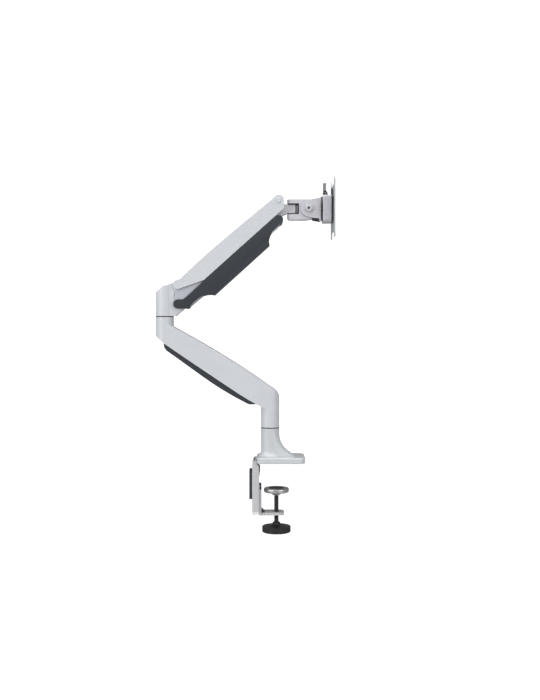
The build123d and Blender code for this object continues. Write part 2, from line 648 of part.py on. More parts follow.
def lower_link_cover():
    seam_rise = COVER_GAP / math.cos(math.radians(42))
    nose = Spline((27.4 - 11.5, 505.4 - 10.35 - seam_rise - 3), (24.6, 487), (25.2, 479),
                  (21.5, 473.6))
    front = Spline((21.5, 473.6), (13.9, 468.7), (2.9, 456.8), (-1.9, 442.5), (-1.1, 432.2))
    belly = Line((-1.1, 432.2), (-111.1, 332.5))
    back = Spline((-111.1, 332.5), (-128.9, 332.5), (-138.8, 328.6), (-157, 312.7))
    heel = Polyline((-157, 312.7), (-162.9, 305.4), (-170.5, 306.1), (-183, 306.1))
    lobe = ThreePointArc((-183, 306.1), (-192.1, 315.2), (-183, 324.4))
    shelf = Polyline((-183, 324.4), (-172.5, 324.4), (-166.5, 329), (-130.9, 363 - seam_rise - 0.4))
    seam = Line((-130.9, 363 - seam_rise - 0.4), (15.9, 505.4 - 10.35 - seam_rise - 3))
    outline = (nose + front + belly + back + heel + lobe + shelf + seam).edges()
    cover = slab(outline, -CASING_HALF_WIDTH, CASING_HALF_WIDTH)
    inner = CASING_HALF_WIDTH - CASING_WALL
    hollow = [(-215, 290), (-127, 290), (-127, 335.2), (-112.3, 335.2), (-4.5, 433), (-6.5, 446),
              (-4, 451), (45, 451), (45, 520), (-130, 400), (-215, 400)]
    return cover - slab(loop(hollow), -inner, inner)


def placed_on_spring(shape):
    """Turns a piece drawn along +X from the spring's lower eye into its place."""
    lift = Rot(0, -SPRING_ANGLE, 0)
    return Pos(SPRING_FOOT[0], 0, SPRING_FOOT[1]) * lift * shape


def gas_cylinder():
    eye_centre = SPRING_LENGTH
    half = EYE_HALF_WIDTH
    tube = bar_x(0, 0, SPRING_R, TUBE_FROM, eye_centre - 14)
    tube -= bar_x(0, 0, SPRING_BORE_R, TUBE_FROM, eye_centre - 18)
    tongue = block(eye_centre - 15, eye_centre, -half, half, -HEAD_EYE_R, HEAD_EYE_R)
    eye = bar_y((eye_centre, 0), HEAD_EYE_R, -half, half)
    fitted = tube + tongue + eye
    return placed_on_spring(fitted - bar_y((eye_centre, 0), PIN_R + RUNNING, -2 * half, 2 * half))


def rod_guide():
    outer = bar_x(0, 0, SPRING_BORE_R, TUBE_FROM, TUBE_FROM + 9)
    return placed_on_spring(outer - bar_x(0, 0, ROD_R + RUNNING, TUBE_FROM, TUBE_FROM + 9))


def gas_rod():
    rod = bar_x(0, 0, ROD_R, 8.5, TUBE_FROM + 20)
    piston = bar_x(0, 0, SPRING_BORE_R - RUNNING, TUBE_FROM + 12, TUBE_FROM + 20)
    hole_r = PIN_R + EYE_SLACK
    half = EYE_HALF_WIDTH
    eye = bar_y((0, 0), hole_r + 2.3, -half, half) - bar_y((0, 0), hole_r, -half, half)
    return placed_on_spring(rod + piston + eye)


def spring_head_pin():
    return blind_pin(SPRING_HEAD)


# ---------------------------------------------------------------- head
def front_knuckle():
    half = CHEEK_HALF_WIDTH
    web = [(PIVOT_C[0] - FRONT_EYE_R, PIVOT_C[1]), (PIVOT_C[0] + FRONT_EYE_R, PIVOT_C[1]),
           (PIVOT_D[0] + EYE_R, PIVOT_D[1]), (PIVOT_D[0] - EYE_R, PIVOT_D[1])]
    knuckle = slab(loop(web), -half, half)
    knuckle += bar_y(PIVOT_C, FRONT_EYE_R, -half, half)
    knuckle += bar_y(PIVOT_D, EYE_R, -half, half)
    shoulder = [(20, 517), (28, 515), (FORK_BACK, BOSS_TOP), (FORK_BACK, BOSS_BOTTOM), (28, 493), (20, 490)]
    knuckle += slab(loop(shoulder), -9.5, 9.5)
    knuckle += block(30, SWIVEL_X, -7.5, 7.5, BOSS_BOTTOM, BOSS_TOP)
    knuckle += bar_z(SWIVEL_X, BOSS_R, BOSS_BOTTOM, BOSS_TOP)
    knuckle -= bar_z(SWIVEL_X, SWIVEL_PIN_R + HEAD_BUSH_WALL, BOSS_BOTTOM - 1, BOSS_TOP + 1)
    for pivot in (PIVOT_C, PIVOT_D):
        knuckle -= bar_y(pivot, PIN_R, -2 * half, 2 * half)
    return knuckle


def pivot_cap(side):
    """The low domed head that covers the front pivot on one side of the casing."""
    face = CASING_HALF_WIDTH + 0.1
    near = min(side * face, side * (face + PIVOT_CAP))
    cap = bar_y(PIVOT_C, PIVOT_CAP_R, near, near + PIVOT_CAP)
    rims = cap.edges().filter_by(GeomType.CIRCLE).sort_by(Axis.Y)
    return fillet(rims[0 if side < 0 else -1], 0.8)


def front_pivot_bolt():
    return pivot_cap(-1) + bar_y(PIVOT_C, PIN_R, -CASING_HALF_WIDTH - 0.2, 6)


def front_pivot_nut():
    face = CASING_HALF_WIDTH + PIVOT_CAP
    nut = pivot_cap(1) + bar_y(PIVOT_C, PIN_R, 6, CASING_HALF_WIDTH + 0.2)
    return nut - hexagon_y(PIVOT_C, 4.0, face - 2.2, face + 1)


def front_lower_pin():
    return pin_between(PIVOT_D, 0.2 - LINK_HALF_WIDTH, LINK_HALF_WIDTH - 0.2)


def head_bush():
    outer = SWIVEL_PIN_R + HEAD_BUSH_WALL
    return ring_z(SWIVEL_X, outer, SWIVEL_PIN_R + RUNNING, BOSS_BOTTOM, BOSS_TOP)


def swivel_bracket():
    """A fork over the swivel boss, with a lug behind it for the tilt joint."""
    outline = [(FORK_BACK, FORK_BOTTOM + 3), (FORK_BACK + 3, FORK_BOTTOM), (72, FORK_BOTTOM),
               (FORK_FRONT, 485.2), (FORK_FRONT, FORK_TOP - 4.5), (80, FORK_TOP), (FORK_BACK, FORK_TOP)]
    half = LUG_HALF_WIDTH
    body = slab(loop(outline), -half, half)
    plan = bar_z(SWIVEL_X, half, FORK_BOTTOM - 5, FORK_TOP + 5)
    plan += block(SWIVEL_X, FORK_FRONT + 5, -half, half, FORK_BOTTOM - 5, FORK_TOP + 5)
    body &= plan
    body -= block(FORK_BACK - 5, FORK_SLOT_END, -2 * half, 2 * half, FORK_SLOT_BOTTOM, FORK_SLOT_TOP)
    body -= bar_z(SWIVEL_X, SWIVEL_PIN_R, FORK_BOTTOM + 1.5, FORK_TOP + 1)
    return body - bar_y(TILT, PIN_R + RUNNING, -2 * half, 2 * half)


def swivel_pin():
    return bar_z(SWIVEL_X, SWIVEL_PIN_R, FORK_BOTTOM + 1.5, FORK_TOP - 0.2)


def swivel_washers():
    """Two washers joined behind the boss, so that they slip into the fork as one piece."""
    upper = ring_z(SWIVEL_X, SWIVEL_WASHER_R, SWIVEL_PIN_R, BOSS_TOP, FORK_SLOT_TOP)
    lower = ring_z(SWIVEL_X, SWIVEL_WASHER_R, SWIVEL_PIN_R, FORK_SLOT_BOTTOM, BOSS_BOTTOM)
    back = block(SWIVEL_X + BOSS_R + LINER_GAP, FORK_SLOT_END, -LINER_HALF_WIDTH, LINER_HALF_WIDTH,
                 FORK_SLOT_BOTTOM, FORK_SLOT_TOP)
    return upper + lower + back


def tilt_bracket():
    """Two ears and the plate between them that carries the rotation joint."""
    arc = ThreePointArc((TILT[0] - 2, TILT[1] + EAR_R), (TILT[0] - EAR_R, TILT[1]),
                        (TILT[0] - 6, TILT[1] - EAR_R + 1.2))
    lower = Spline((TILT[0] - 6, TILT[1] - EAR_R + 1.2), (77, 487.9), (83.2, 486.8))
    notch = Polyline((83.2, 486.8), (97.5, 485), (97.5, 480.4), (TILT_PLATE_FRONT, 480.4),
                     (TILT_PLATE_FRONT, 526), (95, 526), (TILT[0] - 2, TILT[1] + EAR_R))
    bracket = both_sides((arc + lower + notch).edges(), EAR_INNER, EAR_OUTER)
    bracket += block(TILT_PLATE_BACK, TILT_PLATE_FRONT, -EAR_OUTER, EAR_OUTER, 480.4, 526)
    for side in (-1, 1):
        boss_near = min(side * EAR_OUTER, side * TILT_HEAD_FACE)
        bracket += bar_y(TILT, TILT_BOSS_R, boss_near, boss_near + TILT_BOSS)
    bracket -= bar_y(TILT, PIN_R, -2 * EAR_OUTER, 2 * EAR_OUTER)
    return bracket - bar_x(0, TILT[1], SWIVEL_PIN_R, TILT_PLATE_BACK - 1, TILT_PLATE_FRONT + 1)


def tilt_bracket_insert():
    """A slim dark stop under the ears, joined across behind the lug."""
    outline = [(83.4, 486.6), (97.3, 484.8), (97.3, 481), (85, 483.4)]
    sides = both_sides(loop(outline), EAR_INNER, EAR_OUTER)
    return sides + block(94.5, 97.3, -EAR_OUTER, EAR_OUTER, 481.6, 484.8)


def tilt_friction_washers():
    washer = bar_y(TILT, FRICTION_WASHER_R, -EAR_INNER, EAR_INNER)
    washer -= bar_y(TILT, FRICTION_WASHER_R + 1, -LUG_HALF_WIDTH, LUG_HALF_WIDTH)
    return washer - bar_y(TILT, PIN_R, -2 * EAR_INNER, 2 * EAR_INNER)


def hexagon(across_flats, first_corner=0):
    radius = across_flats / math.sqrt(3)
    turns = [math.radians(60 * step + first_corner) for step in range(6)]
    return [(radius * math.cos(turn), radius * math.sin(turn)) for turn in turns]


def hexagon_y(centre, across_flats, y_from, y_to):
    corners = [(centre[0] + x, centre[1] + z) for x, z in hexagon(across_flats)]
    return slab(loop(corners), y_from, y_to)


def hexagon_x(y, z, across_flats, x_from, x_to):
    corners = [(y + across, z + up) for across, up in hexagon(across_flats, 30)]
    face = make_face(loop(corners))
    return Pos(x_from, 0, 0) * extrude(Plane.YZ * face, amount=x_to - x_from)


def tilt_bolt():
    head = bar_y(TILT, TILT_HEAD_R, -TILT_HEAD_FACE - TILT_HEAD, -TILT_HEAD_FACE)
    head = chamfer(head.edges().group_by(Axis.Y)[0], 0.7)
    shank = bar_y(TILT, PIN_R, -TILT_HEAD_FACE, TILT_HEAD_FACE + TILT_NUT - 0.6)
    return head + shank - hexagon_y(TILT, TILT_SOCKET_FLATS, -TILT_HEAD_FACE - 5, -TILT_HEAD_FACE - 0.6)


def tilt_nut():
    nut = hexagon_y(TILT, TILT_NUT_FLATS, TILT_HEAD_FACE, TILT_HEAD_FACE + TILT_NUT)
    return nut - bar_y(TILT, PIN_R, 0, FAR)


def rotation_disc():
    disc = bar_x(0, TILT[1], DISC_R, TILT_PLATE_FRONT, DISC_FRONT)
    return disc - bar_x(0, TILT[1], SWIVEL_PIN_R, 0, FAR)


def rotation_bolt():
    head = bar_x(0, TILT[1], 8.0, TILT_PLATE_BACK - 2, TILT_PLATE_BACK)
    return head + bar_x(0, TILT[1], SWIVEL_PIN_R, TILT_PLATE_BACK, ROTATION_BOLT_END)


def rotation_nut():
    nut = bar_x(0, TILT[1], ROTATION_NUT_R, ROTATION_NUT_BACK, ROTATION_BOLT_END)
    return nut - bar_x(0, TILT[1], SWIVEL_PIN_R, 0, FAR)


def vesa_block():
    """The head block, with a T-shaped pocket that is open at the top."""
    half = BLOCK_HALF_WIDTH
    body = block(DISC_FRONT, BLOCK_FRONT, -half, half, BLOCK_BOTTOM, BLOCK_TOP)
    body = fillet(body.edges().filter_by(Axis.X), 5.0)
    body = fillet(body.edges().group_by(Axis.X)[0], 1.6)
    body -= block(POCKET_BACK, LIP_BACK, -POCKET_HALF_WIDTH, POCKET_HALF_WIDTH, POCKET_FLOOR, FAR)
    body -= block(LIP_BACK - 1, BLOCK_FRONT + 1, -THROAT_HALF_WIDTH, THROAT_HALF_WIDTH, POCKET_FLOOR, FAR)
    body -= bar_x(0, TILT[1], SWIVEL_PIN_R + RUNNING, DISC_FRONT - 1, POCKET_BACK)
    return body - bar_x(0, TILT[1], ROTATION_NUT_R + 0.8, ROTATION_NUT_BACK - 0.2, POCKET_BACK + 1)


def slide_adapter():
    """The black slide behind the plate, with a T rail for the head block and a tab above it."""
    half = ADAPTER_HALF_WIDTH
    plate = block(ADAPTER_BACK, ADAPTER_FRONT, -half, half, ADAPTER_BOTTOM, ADAPTER_TOP)
    plate = fillet(plate.edges().filter_by(Axis.X), 5.0)
    half = ADAPTER_TAB_HALF_WIDTH
    tab = block(ADAPTER_BACK + 0.8, ADAPTER_FRONT, -half, half, ADAPTER_TOP - 5, ADAPTER_TAB_TOP)
    tab = fillet(tab.edges().filter_by(Axis.X).group_by(Axis.Z)[-1], 3.0)
    gap = SLIDE_GAP
    floor = POCKET_FLOOR + gap
    head = block(POCKET_BACK + gap, LIP_BACK - gap, gap - POCKET_HALF_WIDTH, POCKET_HALF_WIDTH - gap,
                 floor, RAIL_TOP)
    neck = block(LIP_BACK - 1, ADAPTER_BACK + 1, gap - THROAT_HALF_WIDTH, THROAT_HALF_WIDTH - gap,
                 floor, RAIL_TOP)
    adapter = plate + tab + head + neck
    for y in PLATE_SCREW_Y:
        for z in PLATE_SCREW_Z:
            adapter -= bar_x(y, z, PLATE_SCREW_R, ADAPTER_BACK - 1, ADAPTER_FRONT + 1)
    return adapter


def vesa_plate():
    """The square plate, waisted at its top and bottom edges, with two squares of holes."""
    half = PLATE_SIDE / 2
    low = TILT[1] - half
    high = TILT[1] + half
    plate = block(ADAPTER_FRONT, PLATE_FRONT, -half, half, low, high)
    plate = fillet(plate.edges().filter_by(Axis.X), PLATE_CORNER)
    slope = PLATE_NOTCH_DEPTH / 2
    for edge, side in ((low, 1), (high, -1)):
        deep = edge + side * PLATE_NOTCH_DEPTH
        notch = [(PLATE_NOTCH_HALF_WIDTH, edge - side), (PLATE_NOTCH_HALF_WIDTH - slope, deep),
                 (slope - PLATE_NOTCH_HALF_WIDTH, deep), (-PLATE_NOTCH_HALF_WIDTH, edge - side)]
        plate -= extrude(Plane.YZ.offset(ADAPTER_FRONT - 1) * make_face(loop(notch)), amount=4)
    for spacing in VESA_PATTERNS:
        for y in (-spacing / 2, spacing / 2):
            for z in (-spacing / 2, spacing / 2):
                plate -= bar_x(y, TILT[1] + z, VESA_HOLE_R, 0, FAR)
    for y in PLATE_SCREW_Y:
        for z in PLATE_SCREW_Z:
            plate -= plate_screw(y, z)
    return plate


def plate_screw(y, z):
    shank = bar_x(y, z, PLATE_SCREW_R, ADAPTER_BACK + 0.4, PLATE_FRONT)
    cone = Cone(PLATE_SCREW_R, PLATE_CONE_R, PLATE_CONE, align=LOW)
    return shank + Pos(PLATE_FRONT - PLATE_CONE, y, z) * Rot(0, 90, 0) * cone


def plate_screws():
    group = Part()
    for y in PLATE_SCREW_Y:
        for z in PLATE_SCREW_Z:
            socket = bar_x(y, z, 1.2, PLATE_FRONT - 1.2, PLATE_FRONT + 1)
            group += plate_screw(y, z) - socket
    return group


def latch_housing():
    outline = [(105.8, BLOCK_TOP), (114.5, BLOCK_TOP), (114.5, 536.4), (112.6, HOUSING_TOP),
               (106.6, HOUSING_TOP), (105.8, 538.6)]
    housing = slab(loop(outline), -HOUSING_HALF_WIDTH, HOUSING_HALF_WIDTH)
    slot = HOUSING_SLOT_HALF_WIDTH
    housing -= block(100, 120, -slot, slot, BLOCK_TOP + 0.8, FAR)
    return housing - bar_y(LEVER_PIVOT, LEVER_PIN_R, -FAR, FAR)


def lever_pin():
    return bar_y(LEVER_PIVOT, LEVER_PIN_R, 0.2 - HOUSING_HALF_WIDTH, HOUSING_HALF_WIDTH - 0.2)


def release_lever():
    blade = [(107.4, 533.8), (113.2, 533.8), (113.2, 539), (111.6, 542.5), (111.6, 556),
             (110.8, 556.5), (106.8, 556.5), (106, 556), (106, 541)]
    lever = slab(loop(blade), -LEVER_HALF_WIDTH, LEVER_HALF_WIDTH)
    tab = round_loop([(106, 541.5), (111.6, 541.5), (111.6, 556.5), (106, 556.5)], 1.2)
    lever += slab(tab, -TAB_HALF_WIDTH, TAB_HALF_WIDTH)
    return lever - bar_y(LEVER_PIVOT, LEVER_PIN_R + RUNNING, -FAR, FAR)


def lever_spring():
    coil = bar_y(LEVER_PIVOT, LEVER_PIN_R + 1.1, LEVER_HALF_WIDTH + 0.3, LEVER_HALF_WIDTH + 1.9)
    return coil - bar_y(LEVER_PIVOT, LEVER_PIN_R + 0.2, 0, FAR)


PIECES = [base_foot, foot_pad, swivel_shaft, shaft_screw, base_washer, clamp_upright, upright_end_cap,
          upright_screws, edge_bumper, rear_cable_clip, lower_bracket, bracket_gusset, bracket_screws,
          threaded_insert, pressure_disc, pressure_pad, clamp_spindle, clamp_knob, lower_arm_casting,
          lower_arm_cable_cover, column_bushes, elbow_bushes, elbow_washer, yoke_casting, yoke_spindle,
          rear_upper_pin, rear_lower_pin, spring_foot_pin, upper_casing, lower_link, lower_link_cover,
          gas_cylinder, rod_guide, gas_rod, spring_head_pin, front_knuckle, front_pivot_bolt,
          front_pivot_nut, front_lower_pin, head_bush, swivel_bracket, swivel_pin, swivel_washers,
          tilt_bracket, tilt_bracket_insert, tilt_friction_washers, tilt_bolt, tilt_nut, rotation_disc,
          rotation_bolt, rotation_nut, vesa_block, slide_adapter, vesa_plate, plate_screws,
          latch_housing, lever_pin, release_lever, lever_spring]

os.makedirs("parts", exist_ok=True)
for piece in PIECES:
    export_step(piece(), "parts/" + piece.__name__ + ".step")
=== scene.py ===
import bmesh
import bpy
import json
import math
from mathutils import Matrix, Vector


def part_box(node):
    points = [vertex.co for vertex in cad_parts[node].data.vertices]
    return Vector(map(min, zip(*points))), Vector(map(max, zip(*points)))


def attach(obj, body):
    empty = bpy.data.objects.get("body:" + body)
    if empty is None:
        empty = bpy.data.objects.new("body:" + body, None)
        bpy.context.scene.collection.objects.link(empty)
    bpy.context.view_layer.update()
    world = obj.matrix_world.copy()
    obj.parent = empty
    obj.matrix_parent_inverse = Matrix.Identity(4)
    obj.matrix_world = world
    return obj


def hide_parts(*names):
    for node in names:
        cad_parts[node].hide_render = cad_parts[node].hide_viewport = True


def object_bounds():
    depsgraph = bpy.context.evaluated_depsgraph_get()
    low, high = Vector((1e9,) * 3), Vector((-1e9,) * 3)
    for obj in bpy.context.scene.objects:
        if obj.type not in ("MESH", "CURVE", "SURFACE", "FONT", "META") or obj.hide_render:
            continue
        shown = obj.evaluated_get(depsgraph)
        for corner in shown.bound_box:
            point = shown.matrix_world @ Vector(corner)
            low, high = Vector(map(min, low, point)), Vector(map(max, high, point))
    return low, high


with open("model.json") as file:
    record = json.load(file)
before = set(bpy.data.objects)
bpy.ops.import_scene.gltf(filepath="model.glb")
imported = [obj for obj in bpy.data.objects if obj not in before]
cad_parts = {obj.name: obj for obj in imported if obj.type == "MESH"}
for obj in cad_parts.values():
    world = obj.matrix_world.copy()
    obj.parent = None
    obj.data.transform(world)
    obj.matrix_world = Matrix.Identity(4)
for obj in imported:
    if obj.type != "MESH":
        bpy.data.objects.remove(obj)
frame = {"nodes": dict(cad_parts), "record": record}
cad_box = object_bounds()
SLOTS = {entry["node"]: entry["material_slot"] for entry in frame["record"]["subparts"]}
MM = 0.001                  # lengths on the part and stage are in metres, unless said to be in mm

# ---- camera: level, square to the arm's side ----
CAMERA_PLACE = (-0.0102, -2.046, 0.2894)
CAMERA_LENS = 52.6          # mm
CAMERA_SENSOR = 36.0        # mm, width
CAMERA_SHIFT = (0.0071, -0.0471)

# ---- stage ----
FLOOR_DROP = 0.74           # from the arm's lowest point to the floor, about a desk's height
FLOOR_SIZE = 60.0
FLOOR_GREY = (0.5, 0.5, 0.5)
FLOOR_ROUGHNESS = 0.9
FLOOR_GLOW = 0.05
WHITE_STRENGTH = 1.15       # of the background as the camera sees it
WORLD_Y = (0.35, -0.9)      # the direction's Y from which and up to which the world brightens
WORLD_STRENGTH = (0.22, 0.7)
LIGHT_AIM = (-0.05, 0, 0.22)
LIGHTS = {                  # place, width and height, power in watts
    "overhead": ((-0.2, -0.2, 2.6), (2.2, 2.2), 41),
    "front_left": ((-2.5, -1.9, 1.1), (1.6, 2.2), 42),
    "front_right": ((2.1, -2.4, 0.9), (1.4, 2.2), 24),
}

# ---- looks ----
PAINTS = {
    "casting_paint": {"colour": (0.635, 0.655, 0.69), "roughness": 0.42},
    "foot_paint": {"colour": (0.63, 0.655, 0.675), "roughness": 0.36, "coat": 0.7, "coat_roughness": 0.12},
    "head_paint": {"colour": (0.58, 0.58, 0.62), "roughness": 0.36},
    "link_paint": {"colour": (0.52, 0.54, 0.60), "roughness": 0.38},
    "clamp_steel": {"colour": (0.58, 0.58, 0.60), "roughness": 0.38},
}
METALS = {
    "plated_steel": {"colour": (0.62, 0.62, 0.63), "roughness": 0.34},
    "dark_steel": {"colour": (0.05, 0.05, 0.055), "roughness": 0.4},
    "bush": {"colour": (0.5, 0.33, 0.14), "roughness": 0.4},
}
PLASTICS = {
    "charcoal_plastic": {"colour": (0.022, 0.028, 0.037), "roughness": 0.48},
    "black_plastic": {"colour": (0.012, 0.012, 0.014), "roughness": 0.4},
    "grey_plastic": {"colour": (0.27, 0.27, 0.28), "roughness": 0.42},
    "pale_plastic": {"colour": (0.78, 0.78, 0.78), "roughness": 0.5},
}
RUBBERS = {
    "rubber": {"colour": (0.06, 0.06, 0.062), "roughness": 0.75},
}
DRIFT_ENDS = (0.35, 0.65)   # the noise values where the drift in colour is darkest and lightest
# painted shade: how far, how finely and how strongly the paints darken in narrow gaps, where shade falls
CREVICE_REACH = 0.006
CREVICE_SAMPLES = 24
CREVICE_SPAN = (0.1, 0.65)  # the openness that counts as closed and as open
CREVICE_DARK = 0.12         # share of the colour left where closed
WORN_SPAN = (0.52, 0.62)    # the pointiness at which wear starts and is full
WORN_COLOUR = (0.6, 0.6, 0.6, 1)
MIX_FACTOR, MIX_A, MIX_B, MIX_RESULT = 0, 6, 7, 2   # a colour mix node's sockets, which share names

# ---- meshes ----
WELD_DISTANCE = 1e-6
FLAT_ANGLE = math.radians(0.6)
SMOOTH_ANGLE = math.radians(35)
SHARP_ANGLE = math.radians(38)

# ---- rounding, in mm: the widths asked for. Each bevel is cut down as a whole to what its tightest edge
# ---- has room for, so many nodes, the castings above all, come out far less rounded than this ----
SMALL_ROUND = 0.35
SMALL_STEPS = 2
NODE_ROUND = {"clamp_knob": 0.5, "pressure_disc": 0.8, "vesa_block": 0.8, "slide_adapter": 0.8,
              "swivel_bracket": 1.2, "front_knuckle": 1.0, "tilt_bracket": 0.7, "yoke_casting": 0.8,
              "clamp_upright": 0.5, "lower_bracket": 0.6, "upright_end_cap": 0.8, "edge_bumper": 0.4,
              "lower_arm_cable_cover": 0.9, "release_lever": 0.6, "base_washer": 0.15,
              "elbow_washer": 0.15, "vesa_plate": 0.25}
BROAD_ROUND = {             # width and number of steps
    "upper_casing": (4.5, 6),
    "lower_link_cover": (2.5, 4),
    "lower_arm_casting": (3.0, 5),
    "base_foot": (2.0, 4),
}
# the bushes stay as cut, and the other two are made anew with a thread and a coil
NOT_ROUNDED = ("column_bushes", "elbow_bushes", "head_bush", "lever_spring", "clamp_spindle")

# ---- where the broad roundings go ----
SIDE_NORMAL = 0.8           # how far a normal leans to a side, up or down to count as that
UP_NORMAL = 0.35
DOWN_NORMAL = -0.3
OUTER_SHARE = 0.97          # of the node's half width: beyond it an edge counts as outer
ARM_OUTER_SHARE = 0.7       # of that again, on the lower arm
ARM_BOSS = 0.04             # length at each end of the lower arm, with its boss, that is left out
FOOT_OUTER = 0.01           # half width beyond which a foot edge counts as outer
FOOT_PLATE = 0.013          # height over the foot's lowest point, above which its edges are taken

# ---- tilt washers' bore ----
BORE_REACH = 0.0045         # vertices nearer than this to the bolt's axis are the bore's
BORE_EASE = 0.00015

# ---- spindle thread and lever spring ----
THREAD_PITCH = 1.5          # mm
THREAD_DEPTH = 0.45         # mm
THREAD_AROUND = 32          # points around one ring
THREAD_ROWS = 8             # rings to one pitch
THREAD_START = 0.001        # above the spindle's lower end
THREAD_PLAIN = 0.002        # length left plain, start included
SPINDLE_HEAD = 0.007        # length at the top that holds the rivet, kept out of the thread
SHANK_SHARE = 0.98          # of the shank's radius: vertices beyond it are on its surface
COIL_WIRE = 0.25            # mm, radius
COIL_TURNS = 3
COIL_STEPS = 28             # rings to one turn
COIL_AROUND = 10            # points around the wire


# ---------------------------------------------------------------- materials
def start_material(name, colour, roughness, metallic=0.0):
    material = bpy.data.materials.new(name)
    material.use_nodes = True
    shader = material.node_tree.nodes["Principled BSDF"]
    shader.inputs["Base Color"].default_value = (*colour, 1.0)
    shader.inputs["Roughness"].default_value = roughness
    shader.inputs["Metallic"].default_value = metallic
    return material, shader


def add_node(material, kind, **values):
    """A new shader node. The values go to its inputs of that name, or else to its settings."""
    node = material.node_tree.nodes.new(kind)
    for name, value in values.items():
        if name in node.inputs:
            node.inputs[name].default_value = value
        else:
            setattr(node, name, value)
    return node


def wire(material, source, output, target, socket):
    material.node_tree.links.new(source.outputs[output], target.inputs[socket])


def noise(material, scale, detail=3.0):
    place = add_node(material, "ShaderNodeTexCoord")
    texture = add_node(material, "ShaderNodeTexNoise", Scale=scale, Detail=detail)
    wire(material, place, "Object", texture, "Vector")
    return texture


def map_range(material, source, output, taken=(0.0, 1.0), given=(0.0, 1.0)):
    """A node that maps the taken span of an output onto the given span."""
    node = add_node(material, "ShaderNodeMapRange")
    names = ("From Min", "From Max", "To Min", "To Max")
    for name, value in zip(names, (*taken, *given)):
        node.inputs[name].default_value = value
    wire(material, source, output, node, "Value")
    return node


def vary_colour(material, shader, colour, amount, scale):
    """A slow drift of the base colour, darker and lighter by the given share."""
    texture = noise(material, scale)
    ramp = add_node(material, "ShaderNodeValToRGB")
    for element, place, share in zip(ramp.color_ramp.elements, DRIFT_ENDS, (1 - amount, 1 + amount)):
        element.position = place
        element.color = (*[c * share for c in colour], 1)
    wire(material, texture, "Fac", ramp, "Fac")
    wire(material, ramp, "Color", shader, "Base Color")


def vary_roughness(material, shader, texture, least, most):
    span = map_range(material, texture, "Fac", given=(least, most))
    wire(material, span, "Result", shader, "Roughness")


def bump(material, shader, texture, depth, strength):
    node = add_node(material, "ShaderNodeBump", Strength=strength, Distance=depth)
    wire(material, texture, "Fac", node, "Height")
    wire(material, node, "Normal", shader, "Normal")


def mix_into_base(material, shader, mix):
    """Send what colours the shader through the mix, and the mix into the shader."""
    before = shader.inputs["Base Color"].links[0].from_socket
    material.node_tree.links.new(before, mix.inputs[MIX_A])
    wire(material, mix, MIX_RESULT, shader, "Base Color")


def paint_crevice_shade(material, shader):
    """Painted shade: darken the base colour in narrow gaps, by ambient occlusion, where shade would fall.
    """
    near = add_node(material, "ShaderNodeAmbientOcclusion", samples=CREVICE_SAMPLES,
                    Distance=CREVICE_REACH)
    span = map_range(material, near, "AO", CREVICE_SPAN, (CREVICE_DARK, 1.0))
    mix = add_node(material, "ShaderNodeMix", data_type="RGBA", blend_type="MULTIPLY")
    mix.inputs[MIX_FACTOR].default_value = 1.0
    wire(material, span, "Result", mix, MIX_B)
    mix_into_base(material, shader, mix)


def wear_edges(material, shader, lift):
    """Outward corners of the mesh a little lighter than the faces between them."""
    geometry = add_node(material, "ShaderNodeNewGeometry")
    span = map_range(material, geometry, "Pointiness", WORN_SPAN, (0.0, lift))
    mix = add_node(material, "ShaderNodeMix", data_type="RGBA")
    mix.inputs[MIX_B].default_value = WORN_COLOUR
    wire(material, span, "Result", mix, MIX_FACTOR)
    mix_into_base(material, shader, mix)


def powder_coat(name, colour, roughness, coat=0.12, coat_roughness=0.25):
    """Satin powder coat: a fine orange peel with a slow drift in tone, and painted shade in narrow gaps.
    """
    material, shader = start_material(name, colour, roughness)
    vary_colour(material, shader, colour, amount=0.018, scale=22.0)
    vary_roughness(material, shader, noise(material, scale=60.0), roughness - 0.05, roughness + 0.05)
    bump(material, shader, noise(material, scale=950.0, detail=2.0), depth=0.00006, strength=0.35)
    shader.inputs["Coat Weight"].default_value = coat
    shader.inputs["Coat Roughness"].default_value = coat_roughness
    # painted shade: the colour darkens in narrow gaps
    paint_crevice_shade(material, shader)
    return material


def moulded(name, colour, roughness):
    """Moulded plastic with a fine spark-eroded grain."""
    material, shader = start_material(name, colour, roughness)
    vary_colour(material, shader, colour, amount=0.05, scale=30.0)
    wear_edges(material, shader, lift=0.05)
    vary_roughness(material, shader, noise(material, scale=90.0), roughness - 0.06, roughness + 0.06)
    bump(material, shader, noise(material, scale=1500.0, detail=4.0), depth=0.00005, strength=0.5)
    return material


def metal(name, colour, roughness):
    """Plated or blackened steel, or bronze, with a fine grain that runs in no one direction."""
    material, shader = start_material(name, colour, roughness, metallic=1.0)
    vary_colour(material, shader, colour, amount=0.06, scale=40.0)
    wear_edges(material, shader, lift=0.25)
    grain = noise(material, scale=300.0, detail=5.0)
    vary_roughness(material, shader, grain, roughness - 0.1, roughness + 0.12)
    bump(material, shader, grain, depth=0.00004, strength=0.3)
    return material


def soft_rubber(name, colour, roughness):
    material, shader = start_material(name, colour, roughness)
    vary_colour(material, shader, colour, amount=0.1, scale=120.0)
    bump(material, shader, noise(material, scale=2200.0), depth=0.00008, strength=0.6)
    return material


RECIPES = ((powder_coat, PAINTS), (metal, METALS), (moulded, PLASTICS), (soft_rubber, RUBBERS))
MATERIALS = {name: recipe(name, **look) for recipe, looks in RECIPES for name, look in looks.items()}


# ---------------------------------------------------------------- mesh helpers
def link(obj):
    bpy.context.scene.collection.objects.link(obj)


def body_of(node):
    for body, members in frame["record"]["behaviour"]["bodies"].items():
        if node in members:
            return body


def welded(node):
    """A working copy of a CAD node: seams welded and flat faces joined."""
    mesh = frame["nodes"][node].data
    work = bmesh.new()
    work.from_mesh(mesh)
    bmesh.ops.remove_doubles(work, verts=work.verts, dist=WELD_DISTANCE)
    bmesh.ops.dissolve_limit(work, angle_limit=FLAT_ANGLE, verts=work.verts, edges=work.edges)
    return work


